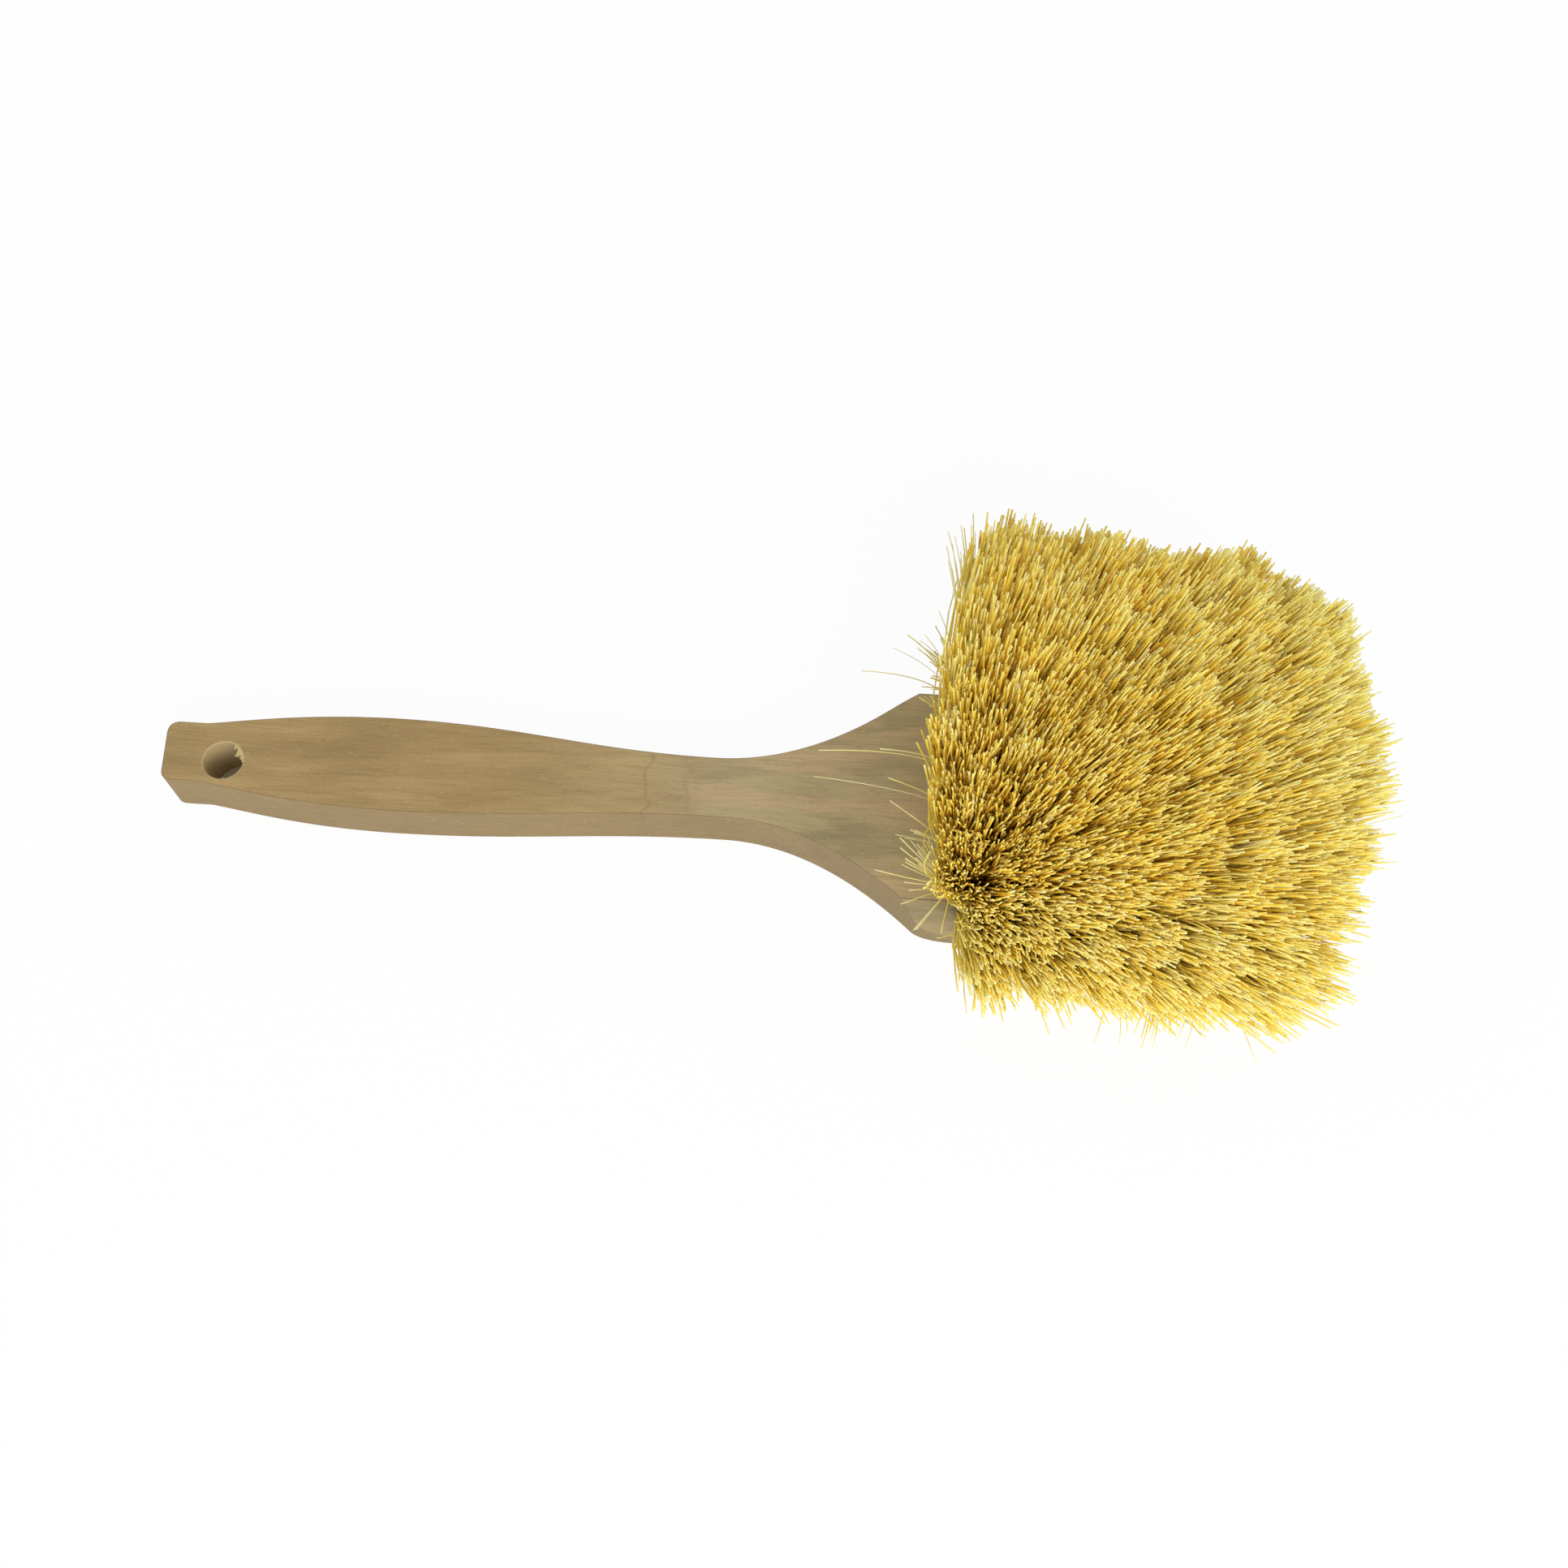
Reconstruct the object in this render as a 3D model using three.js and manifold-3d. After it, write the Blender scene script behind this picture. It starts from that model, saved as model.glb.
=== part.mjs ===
// Fender wash brush. One hardwood board is cut to a paddle handle and a bevelled head. Tufts of
// stiff plant fibre are folded over wire staples in drilled holes, and fan out on three sides.
// Millimetres, +Z up. The brush lies on its flat back, handle towards -X and nose towards +X.
// The origin is the middle of the underside of the whole brush, bristles included.

import * as THREE from "three";
import { mergeVertices } from "three/addons/utils/BufferGeometryUtils.js";
import Module from "manifold-3d";

const wasm = await Module();
wasm.setup();

// Board. Stations are measured along the board from the handle end
const boardThickness = 19;
const handleLength = 251; // to where the head's straight sides start
const headLength = 79;
const edgeEase = 1.4; // the small round on every long edge
const easeSteps = 2;

// Handle
const tailHalfWidth = 10;
const tailStation = 12; // where the tail starts to swell into the grip
const tailCorner = 3.8;
const tailSkew = 1.4; // the end is cut this much off square
const gripHalfWidth = 15.7;
const gripStation = 72;
const waistHalfWidth = 9.7;
const waistStation = 168;
const swellLeadShare = 0.17; // first control point of the swell, along and up
const swellRiseShare = 0.23;
const swellSettleShare = 0.5; // second control point, along
const taperShare = 0.4; // how long the grip and the waist each run level

// Hang hole
const hangHoleDiameter = 13;
const hangHoleStation = 19.3;
const hangHoleOffset = 2; // off the middle line, towards the near side
const hangHoleEase = 0.8;
const hangHoleSides = 28;

// Head
const headHalfWidth = 43;
const shoulderRun = 10; // the shoulder's round, along the board
const shoulderDrop = 4; // and across it
const noseCorner = 12;
const bevelRun = 9; // how far the side and nose bevels lean in, base to face
const bevelLand = 2; // upright edge left below the bevels
const outlineSteps = 7;

// Tuft holes
const tuftHoleDiameter = 6.6;
const tuftHoleDepth = 8.5; // along the hole
const tuftHoleSides = 8;
const crownEdgeMargin = 5.5; // outermost hole centres to the creases at the sides
const crownNoseMargin = 7;
const crownNeckMargin = 3; // first column, back from the start of the straight sides
const noseEndMargin = 12; // outermost nose holes, in from the head's full half width
const bevelRootShare = 0.66; // height of the bevel holes, as a share of the board
const crownColumnCount = 6;
const crownRowCounts = [6, 5]; // columns alternate between these
const sideTuftCount = 6;
const noseTuftCount = 7;

// Fibre
const trimLength = 64; // from the face to the cut tips
const crownStrandCount = 6;
const bevelStrandCount = 8;
const strandSides = 3;
const strandRootRadius = 0.7;
const strandTipRadius = 0.5;
const rootRingShare = 0.7; // ring of strands in the knot, as a share of its radius
const tuftTipRadius = 9.5; // how wide one tuft has opened at its tips
const strandBow = 1.6; // strands leave the hole upright and then spread
const middleShare = 0.2; // how far the middle strand strays, as a share of that radius
const trimScatterShare = 0.03;
const turnScatterRadians = 0.2; // at the tips
const plugSides = 6;
const roomSteps = 16; // points along a strand where the room to its neighbours is measured

// Lean of the tufts, from upright
const crownSideLeanDegrees = 26; // outermost rows, outwards
const crownBackLeanNearDegrees = -12; // first column. Above zero leans towards the nose
const crownBackLeanFarDegrees = 2;
const crownNoseLeanNearDegrees = 36; // last column
const crownNoseLeanFarDegrees = 40;
const nearSplayDegrees = [38, 45]; // first and last tuft of a bevel row
const farSplayDegrees = [47, 56];
const sideTurnDegrees = [10, 38]; // turned towards the nose
const noseSplayNearDegrees = 41;
const noseSplayFarDegrees = 58;
const noseTurnDegrees = 38; // outermost nose tufts, turned to the sides

// Slices of board that carry the fibre, let into the faces
const sliceThickness = 1.2;
const crownSliceRim = 1.5; // board left between the slice and the creases
const bevelSliceRim = 3;
const sliceEndRim = 1.6; // slice left beyond the outermost holes

// Staples
const wire = 1;
const stapleLegShare = 2 / 3; // leg centres, as a share of the hole's radius
const stapleLegDepth = 2.4; // what a leg goes into the board
const seatGap = 0.3; // clearance wherever one piece seats in another
const overrun = 6; // how far cutting solids run past the face that they cut

// Worked out from the sizes above
const blockLength = handleLength + headLength;
const shoulderStation = handleLength - shoulderRun;
const crownHalfWidth = headHalfWidth - bevelRun;
const bevelHeight = boardThickness - bevelLand;
const bevelSlope = Math.hypot(bevelRun, bevelHeight);
const tuftHoleRadius = tuftHoleDiameter / 2;
const firstStation = handleLength - crownNeckMargin;
const lastStation = blockLength - bevelRun - crownNoseMargin;
const rowHalfSpan = crownHalfWidth - crownEdgeMargin;
const bevelRootZ = boardThickness * bevelRootShare;
const bevelRootRun = (bevelRun * (boardThickness - bevelRootZ)) / bevelHeight;
const noseHalfSpan = headHalfWidth - noseEndMargin;

const wood = new THREE.MeshStandardMaterial({ color: 0xa48a5a, roughness: 0.75, metalness: 0 });
const fibre = new THREE.MeshStandardMaterial({ color: 0xd6b458, roughness: 0.7, metalness: 0 });
const steel = new THREE.MeshStandardMaterial({ color: 0x9c9c98, roughness: 0.4, metalness: 1 });

// Small helpers
function mix(a, b, t) {
  return a + (b - a) * t;
}

function radians(degrees) {
  return THREE.MathUtils.degToRad(degrees);
}

// The same scatter every time the model is built
let seed = 7;
function scatter() {
  seed = (seed * 16807) % 2147483647;
  return (2 * seed) / 2147483647 - 1;
}

function solid(geometry) {
  const bare = geometry.clone();
  bare.deleteAttribute("normal");
  bare.deleteAttribute("uv");
  const merged = mergeVertices(bare);
  const shape = {
    numProp: 3,
    vertProperties: new Float32Array(merged.attributes.position.array),
    triVerts: new Uint32Array(merged.index.array),
  };
  return new wasm.Manifold(new wasm.Mesh(shape));
}

function geometryOf(made) {
  const mesh = made.getMesh();
  const geometry = new THREE.BufferGeometry();
  geometry.setAttribute("position", new THREE.BufferAttribute(mesh.vertProperties, 3));
  geometry.setIndex(new THREE.BufferAttribute(mesh.triVerts, 1));
  geometry.computeVertexNormals();
  return geometry;
}

function named(name, geometry, material) {
  const mesh = new THREE.Mesh(geometry, material);
  mesh.name = name;
  return mesh;
}

// A face of the head: a point on it, a direction along it, and its outward normal
function face(origin, along, normal) {
  const across = new THREE.Vector3().crossVectors(normal, along);
  return { origin, along, normal, across };
}

function bevelFace(outward, station) {
  const normal = outward.clone().multiplyScalar(bevelHeight);
  normal.z = bevelRun;
  normal.normalize();
  const along = new THREE.Vector3(outward.y, -outward.x, 0);
  const reach = outward.x > 0 ? 0 : crownHalfWidth;
  const crease = new THREE.Vector3(station, 0, boardThickness).addScaledVector(outward, reach);
  return face(crease, along, normal);
}

const up = new THREE.Vector3(0, 0, 1);
const middleStation = (firstStation + lastStation) / 2;
const crownMiddle = new THREE.Vector3(middleStation, 0, boardThickness);
const crownFace = face(crownMiddle, new THREE.Vector3(1, 0, 0), up);
const nearFace = bevelFace(new THREE.Vector3(0, -1, 0), middleStation);
const farFace = bevelFace(new THREE.Vector3(0, 1, 0), middleStation);
const noseFace = bevelFace(new THREE.Vector3(1, 0, 0), blockLength - bevelRun);

// A tuft: where its middle leaves the board, which way it leans, and the face that it grows from
function tuftAt(root, lean, on) {
  const along = on.along.clone().addScaledVector(lean, -on.along.dot(lean)).normalize();
  const across = new THREE.Vector3().crossVectors(lean, along);
  const place = new THREE.Matrix4().makeBasis(along, across, lean).setPosition(root);
  return { root, lean, on, place };
}

function splayed(splay, heading) {
  const out = Math.sin(radians(splay));
  const x = out * Math.cos(radians(heading));
  const y = out * Math.sin(radians(heading));
  return new THREE.Vector3(x, y, Math.cos(radians(splay)));
}

function crownTufts() {
  const tufts = [];
  const pitch = (2 * rowHalfSpan) / (crownRowCounts[0] - 1);
  for (let column = 0; column < crownColumnCount; column++) {
    const t = column / (crownColumnCount - 1);
    const rows = crownRowCounts[column % crownRowCounts.length];
    for (let row = 0; row < rows; row++) {
      const y = (row - (rows - 1) / 2) * pitch;
      const across = (y / rowHalfSpan + 1) / 2;
      const back = mix(crownBackLeanNearDegrees, crownBackLeanFarDegrees, across);
      const front = mix(crownNoseLeanNearDegrees, crownNoseLeanFarDegrees, across);
      const leanX = Math.tan(radians(mix(back, front, t)));
      const leanY = Math.tan(radians((crownSideLeanDegrees * y) / rowHalfSpan));
      const root = new THREE.Vector3(mix(firstStation, lastStation, t), y, boardThickness);
      tufts.push(tuftAt(root, new THREE.Vector3(leanX, leanY, 1).normalize(), crownFace));
    }
  }
  return tufts;
}

function bevelTufts(side, splay, on) {
  const tufts = [];
  for (let i = 0; i < sideTuftCount; i++) {
    const t = i / (sideTuftCount - 1);
    const heading = side * (90 - mix(sideTurnDegrees[0], sideTurnDegrees[1], t));
    const y = side * (crownHalfWidth + bevelRootRun);
    const root = new THREE.Vector3(mix(firstStation, lastStation, t), y, bevelRootZ);
    tufts.push(tuftAt(root, splayed(mix(splay[0], splay[1], t), heading), on));
  }
  return tufts;
}

function noseRow() {
  const tufts = [];
  for (let i = 0; i < noseTuftCount; i++) {
    const t = i / (noseTuftCount - 1);
    const x = blockLength - bevelRun + bevelRootRun;
    const root = new THREE.Vector3(x, mix(-noseHalfSpan, noseHalfSpan, t), bevelRootZ);
    const splay = mix(noseSplayNearDegrees, noseSplayFarDegrees, t);
    tufts.push(tuftAt(root, splayed(splay, mix(-noseTurnDegrees, noseTurnDegrees, t)), noseFace));
  }
  return tufts;
}

// One long edge of the board seen from above, from the tail to the nose. Side is -1 for the
// near edge and 1 for the far one
function longEdge(side) {
  const swell = gripStation - tailStation;
  const rise = gripHalfWidth - tailHalfWidth;
  const taper = (waistStation - gripStation) * taperShare;
  const shoulderHalfWidth = headHalfWidth - shoulderDrop;
  const flareMiddle = (waistStation + shoulderStation) / 2;
  const flareSlope = (shoulderHalfWidth - waistHalfWidth) / (shoulderStation - flareMiddle);
  const end = side < 0 ? tailSkew : 0;
  const endInner = mix(end, tailSkew / 2, tailCorner / tailHalfWidth);
  const path = new THREE.Path();
  path.moveTo(endInner, tailHalfWidth - tailCorner);
  path.quadraticCurveTo(end, tailHalfWidth, end + tailCorner, tailHalfWidth);
  path.lineTo(tailStation, tailHalfWidth);
  path.bezierCurveTo(
    tailStation + swell * swellLeadShare,
    tailHalfWidth + rise * swellRiseShare,
    tailStation + swell * swellSettleShare,
    gripHalfWidth,
    gripStation,
    gripHalfWidth,
  );
  path.bezierCurveTo(
    gripStation + taper,
    gripHalfWidth,
    waistStation - taper,
    waistHalfWidth,
    waistStation,
    waistHalfWidth,
  );
  path.quadraticCurveTo(flareMiddle, waistHalfWidth, shoulderStation, shoulderHalfWidth);
  const shoulderTop = shoulderStation + shoulderDrop / flareSlope;
  path.quadraticCurveTo(shoulderTop, headHalfWidth, handleLength, headHalfWidth);
  path.lineTo(blockLength - noseCorner, headHalfWidth);
  path.quadraticCurveTo(blockLength, headHalfWidth, blockLength, headHalfWidth - noseCorner);
  return path.getPoints(outlineSteps).map((point) => new THREE.Vector2(point.x, side * point.y));
}

function board() {
  const settings = {
    depth: boardThickness - 2 * edgeEase,
    bevelThickness: edgeEase,
    bevelSize: edgeEase,
    bevelOffset: -edgeEase,
    bevelSegments: easeSteps,
    curveSegments: outlineSteps,
  };
  const outline = new THREE.Shape([...longEdge(-1), ...longEdge(1).reverse()]);
  return solid(new THREE.ExtrudeGeometry(outline, settings).translate(0, 0, edgeEase));
}

// What is cut away outside a bevel: a box laid against the sloping face
function bevelCut(on) {
  const long = 2 * blockLength;
  const high = 2 * bevelSlope;
  const box = new THREE.BoxGeometry(long, high, overrun * 2);
  const place = new THREE.Matrix4().makeBasis(on.along, on.across, on.normal);
  place.setPosition(on.origin.clone().addScaledVector(on.normal, overrun));
  const cut = solid(box.applyMatrix4(place));
  const above = new THREE.BoxGeometry(4 * blockLength, 4 * blockLength, 2 * boardThickness);
  return cut.intersect(solid(above.translate(0, 0, bevelLand + boardThickness)));
}

function hangHole() {
  const radius = hangHoleDiameter / 2;
  const mouth = radius + hangHoleEase;
  const profile = [
    new THREE.Vector2(0, -overrun),
    new THREE.Vector2(mouth + overrun, -overrun),
    new THREE.Vector2(radius, hangHoleEase),
    new THREE.Vector2(radius, boardThickness - hangHoleEase),
    new THREE.Vector2(mouth + overrun, boardThickness + overrun),
    new THREE.Vector2(0, boardThickness + overrun),
  ];
  const bore = new THREE.LatheGeometry(profile, hangHoleSides).rotateX(Math.PI / 2);
  return solid(bore.translate(hangHoleStation, -hangHoleOffset, 0));
}

// The rectangle of a slice on its face. With a clearance it is the pocket that takes the slice
function slice(on, length, width, shift, clearance) {
  const deep = sliceThickness + clearance;
  const proud = clearance > 0 ? overrun : 0;
  const box = new THREE.BoxGeometry(length + 2 * clearance, width + 2 * clearance, deep + proud);
  box.translate(0, shift, (proud - deep) / 2);
  const place = new THREE.Matrix4().makeBasis(on.along, on.across, on.normal);
  return solid(box.applyMatrix4(place.setPosition(on.origin)));
}

function crownSlice(clearance) {
  const length = lastStation - firstStation + 2 * (tuftHoleRadius + sliceEndRim);
  return slice(crownFace, length, 2 * (crownHalfWidth - crownSliceRim), 0, clearance);
}

function bevelSlice(on, span, clearance) {
  const width = bevelSlope - 2 * bevelSliceRim;
  const length = span + 2 * (tuftHoleRadius + sliceEndRim);
  return slice(on, length, width, bevelSlope / 2, clearance);
}

// Drilled hole of a tuft, with the pits that the staple's legs make in its floor
function tuftHole(tuft) {
  const radius = tuftHoleRadius / Math.cos(Math.PI / tuftHoleSides);
  const length = tuftHoleDepth + overrun;
  const bore = new THREE.CylinderGeometry(radius, radius, length, tuftHoleSides);
  bore.rotateX(Math.PI / 2).translate(0, 0, length / 2 - tuftHoleDepth);
  let cut = solid(bore.applyMatrix4(tuft.place));
  const pit = wire + 2 * seatGap;
  for (const side of [-1, 1]) {
    const leg = new THREE.BoxGeometry(pit, pit, 2 * stapleLegDepth);
    leg.translate(side * tuftHoleRadius * stapleLegShare, 0, -tuftHoleDepth);
    cut = cut.add(solid(leg.applyMatrix4(tuft.place)));
  }
  return cut;
}

// U of square wire, its bridge across the floor of the hole and its legs in the pits
function staple(name, tuft) {
  const half = tuftHoleRadius * stapleLegShare + wire / 2;
  const foot = seatGap - stapleLegDepth;
  const shape = new THREE.Shape();
  shape.moveTo(-half, foot);
  shape.lineTo(wire - half, foot);
  shape.lineTo(wire - half, seatGap);
  shape.lineTo(half - wire, seatGap);
  shape.lineTo(half - wire, foot);
  shape.lineTo(half, foot);
  shape.lineTo(half, seatGap + wire);
  shape.lineTo(-half, seatGap + wire);
  const geometry = new THREE.ExtrudeGeometry(shape, { depth: wire, bevelEnabled: false });
  geometry.translate(0, 0, -wire / 2).rotateX(Math.PI / 2).translate(0, 0, -tuftHoleDepth);
  return named(name, geometry.applyMatrix4(tuft.place), steel);
}

// The folded fibre in the hole, from just above the staple up into the slice. Its ends lie
// level with the face that the tuft grows from
function knot(tuft) {
  const radius = tuftHoleRadius - seatGap;
  const rise = tuft.lean.dot(tuft.on.normal);
  const foot = (tuftHoleDepth - wire - 2 * seatGap) * rise - radius * Math.sqrt(1 - rise * rise);
  const top = sliceThickness / 2;
  const plug = new THREE.CylinderGeometry(radius, radius, foot - top, plugSides);
  plug.rotateX(Math.PI / 2).translate(0, 0, -(foot + top) / 2);
  const lean = tuft.lean.clone().divideScalar(rise);
  const place = new THREE.Matrix4().makeBasis(tuft.on.along, tuft.on.across, lean);
  return solid(plug.applyMatrix4(place.setPosition(tuft.root)));
}

// Middle line of one strand: its root in the slice, its belly and its cut tip
function strandLine(tuft, index, count) {
  const ringed = index > 0;
  const turn = (index / (count - 1)) * 2 * Math.PI;
  const outwards = (angle) =>
    new THREE.Vector3(Math.cos(angle), Math.sin(angle), 0).transformDirection(tuft.place);
  const ring = ringed ? (tuftHoleRadius - seatGap) * rootRingShare : 0;
  const offset = outwards(turn).multiplyScalar(ring);
  const rise = tuft.lean.dot(tuft.on.normal);
  const settle = -offset.dot(tuft.on.normal) / rise;
  const base = tuft.root.clone().add(offset).addScaledVector(tuft.lean, settle);
  const root = base.clone().addScaledVector(tuft.lean, -sliceThickness / 2 / rise);
  const spread = outwards(turn + scatter() * turnScatterRadians);
  const heading = tuft.lean.clone().multiplyScalar(trimLength);
  heading.addScaledVector(spread, ringed ? tuftTipRadius - ring : tuftTipRadius * middleShare);
  const length = trimLength * (1 + scatter() * trimScatterShare);
  const tip = base.clone().addScaledVector(heading.normalize(), length);
  const belly = base.clone().lerp(tip, 0.5).addScaledVector(spread, ringed ? -strandBow : 0);
  return [root, belly, tip];
}

// A closed tube of few sides through the points, thinner at each
function strandTube(line, place, positions, indices) {
  const first = positions.length / 3;
  line.forEach((point, ring) => {
    const radius = mix(strandRootRadius, strandTipRadius, ring / (line.length - 1));
    for (let side = 0; side < strandSides; side++) {
      const turn = (side / strandSides) * 2 * Math.PI;
      const corner = new THREE.Vector3(Math.cos(turn), Math.sin(turn), 0);
      corner.transformDirection(place).multiplyScalar(radius).add(point);
      positions.push(corner.x, corner.y, corner.z);
    }
  });
  const last = first + (line.length - 1) * strandSides;
  indices.push(first + 2, first + 1, first, last, last + 1, last + 2);
  for (let ring = first; ring < last; ring += strandSides) {
    for (let side = 0; side < strandSides; side++) {
      const next = (side + 1) % strandSides;
      const [a, b] = [ring + side, ring + next];
      indices.push(a, b, b + strandSides, a, b + strandSides, a + strandSides);
    }
  }
}

// Least room between any two strands, measured at points along them
function leastRoom(lines) {
  const samples = lines.map((line) => {
    const curve = new THREE.CurvePath();
    curve.add(new THREE.LineCurve3(line[0], line[1]));
    curve.add(new THREE.LineCurve3(line[1], line[2]));
    return curve.getSpacedPoints(roomSteps);
  });
  const radius = (step) => mix(strandRootRadius, strandTipRadius, step / roomSteps);
  let least = Infinity;
  samples.forEach((one, first) => {
    for (const other of samples.slice(first + 1)) {
      one.forEach((a, i) => {
        other.forEach((b, j) => {
          least = Math.min(least, a.distanceTo(b) - radius(i) - radius(j));
        });
      });
    }
  });
  return least;
}

const allLines = [];

// Slice, knots and strands of one face, as one piece
function tuftPiece(name, tufts, carrier, strandCount) {
  let made = carrier;
  const positions = [];
  const indices = [];
  for (const one of tufts) {
    made = made.add(knot(one));
    for (let index = 0; index < strandCount; index++) {
      const line = strandLine(one, index, strandCount);
      strandTube(line, one.place, positions, indices);
      allLines.push(line);
    }
  }
  const strands = new THREE.BufferGeometry();
  strands.setAttribute("position", new THREE.Float32BufferAttribute(positions, 3));
  strands.setIndex(indices);
  made = made.add(solid(strands));
  return named(name, geometryOf(made), fibre);
}

function brushBlock(tufts, pockets) {
  let made = board();
  for (const on of [nearFace, farFace, noseFace]) {
    made = made.subtract(bevelCut(on));
  }
  for (const pocket of pockets) {
    made = made.subtract(pocket);
  }
  for (const one of tufts) {
    made = made.subtract(tuftHole(one));
  }
  return named("brush_block", geometryOf(made.subtract(hangHole())), wood);
}

function brush() {
  const crown = crownTufts();
  const near = bevelTufts(-1, nearSplayDegrees, nearFace);
  const far = bevelTufts(1, farSplayDegrees, farFace);
  const nose = noseRow();
  const tufts = [...crown, ...near, ...far, ...nose];
  const rowSpan = lastStation - firstStation;
  const noseSpan = 2 * noseHalfSpan;
  const pockets = [
    crownSlice(seatGap),
    bevelSlice(nearFace, rowSpan, seatGap),
    bevelSlice(farFace, rowSpan, seatGap),
    bevelSlice(noseFace, noseSpan, seatGap),
  ];
  const group = new THREE.Group();
  group.add(brushBlock(tufts, pockets));
  group.add(tuftPiece("crown_tufts", crown, crownSlice(0), crownStrandCount));
  group.add(tuftPiece("near_side_tufts", near, bevelSlice(nearFace, rowSpan, 0), bevelStrandCount));
  group.add(tuftPiece("far_side_tufts", far, bevelSlice(farFace, rowSpan, 0), bevelStrandCount));
  group.add(tuftPiece("nose_tufts", nose, bevelSlice(noseFace, noseSpan, 0), bevelStrandCount));
  tufts.forEach((one, index) => {
    group.add(staple("staple_" + String(index + 1).padStart(2, "0"), one));
  });
  return group;
}

const model = new THREE.Group();
model.name = "fender_brush";
model.add(brush());

// Bring the middle of the whole brush over the origin, with the back on the ground
const box = new THREE.Box3().setFromObject(model, true);
const middle = box.getCenter(new THREE.Vector3());
model.children[0].position.set(-middle.x, -middle.y, -box.min.z);

console.log(allLines.length + " strands, least room between two: " + leastRoom(allLines).toFixed(2));

export default model;
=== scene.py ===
# %% [markdown]
# # A fender brush
# One hardwood board is cut to a paddle handle and a bevelled head. Bundles of stiff plant fibre
# are folded over wire staples in drilled holes, and fan out from the face, the sides and the
# nose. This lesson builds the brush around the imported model, which fixes where everything goes.
# All lengths are in metres, and most are written as millimetres times `mm`.

# %% Load the frame
import math
from dataclasses import dataclass

import bmesh
import bpy
import numpy as np
from mathutils import Matrix, Vector, noise
from mathutils.geometry import interpolate_bezier


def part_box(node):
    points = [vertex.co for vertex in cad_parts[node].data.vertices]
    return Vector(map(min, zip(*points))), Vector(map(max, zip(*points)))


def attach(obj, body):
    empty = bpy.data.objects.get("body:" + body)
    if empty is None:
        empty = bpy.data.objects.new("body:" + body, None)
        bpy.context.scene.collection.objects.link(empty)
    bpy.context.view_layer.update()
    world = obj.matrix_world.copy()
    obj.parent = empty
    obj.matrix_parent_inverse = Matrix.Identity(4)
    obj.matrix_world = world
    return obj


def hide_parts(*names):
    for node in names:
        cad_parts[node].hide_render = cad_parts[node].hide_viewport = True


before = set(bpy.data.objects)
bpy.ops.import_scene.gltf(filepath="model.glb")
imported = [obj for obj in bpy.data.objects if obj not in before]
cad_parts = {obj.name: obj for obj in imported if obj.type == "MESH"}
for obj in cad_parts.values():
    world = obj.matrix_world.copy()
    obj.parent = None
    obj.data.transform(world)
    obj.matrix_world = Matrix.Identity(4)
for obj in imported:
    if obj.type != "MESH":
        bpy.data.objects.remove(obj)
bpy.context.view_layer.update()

mm = 0.001
print("CAD nodes:", len(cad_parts))

# %% [markdown]
# ## The camera
# The brush was photographed from above its near side. The hang hole is a circle on a level
# face, so how flat its ellipse looks gives the height of the camera: 66 degrees above the
# board. The handle runs a little uphill across the picture, which is the camera's roll.

# %% Camera
picture_side = 1932  # pixels
focal_length = 2087  # pixels
aim = Vector((4.6, -1.4, 19)) * mm
distance = 530 * mm
elevation = math.radians(66)
roll = math.radians(3.6)

bpy.context.scene.view_settings.view_transform = "Standard"
camera_data = bpy.data.cameras.new("camera")
camera_data.lens = camera_data.sensor_width * focal_length / picture_side
camera_data.clip_start = 10 * mm
camera = bpy.data.objects.new("camera", camera_data)
turn = Matrix.Rotation(math.pi / 2 - elevation, 3, "X") @ Matrix.Rotation(roll, 3, "Z")
camera.matrix_world = Matrix.Translation(aim + turn @ Vector((0, 0, distance))) @ turn.to_4x4()
bpy.context.scene.collection.objects.link(camera)
bpy.context.scene.camera = camera
print("lens", round(camera_data.lens, 2), "mm")

# %% [markdown]
# ## Shader maths in Python
# A finish is a tree of nodes. Written node by node, such a tree is hard to read, so `Level`
# wraps an output socket and lets Python's own operators add the Math nodes. `Finish.node` adds
# any other kind of node: its settings come first, because some of them change its sockets.

# %% Levels and finishes
class Level:
    """A value that changes over a surface. Python's operators on it add Math nodes."""

    def __init__(self, finish, socket):
        self.finish = finish
        self.socket = socket

    def math(self, operation, *values):
        return self.finish.node("ShaderNodeMath", {"operation": operation}, dict(enumerate(values)))

    def __add__(self, other):
        return self.math("ADD", self, other)

    def __radd__(self, other):
        return self.math("ADD", other, self)

    def __sub__(self, other):
        return self.math("SUBTRACT", self, other)

    def __rsub__(self, other):
        return self.math("SUBTRACT", other, self)

    def __mul__(self, other):
        return self.math("MULTIPLY", self, other)

    def __rmul__(self, other):
        return self.math("MULTIPLY", other, self)


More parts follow.
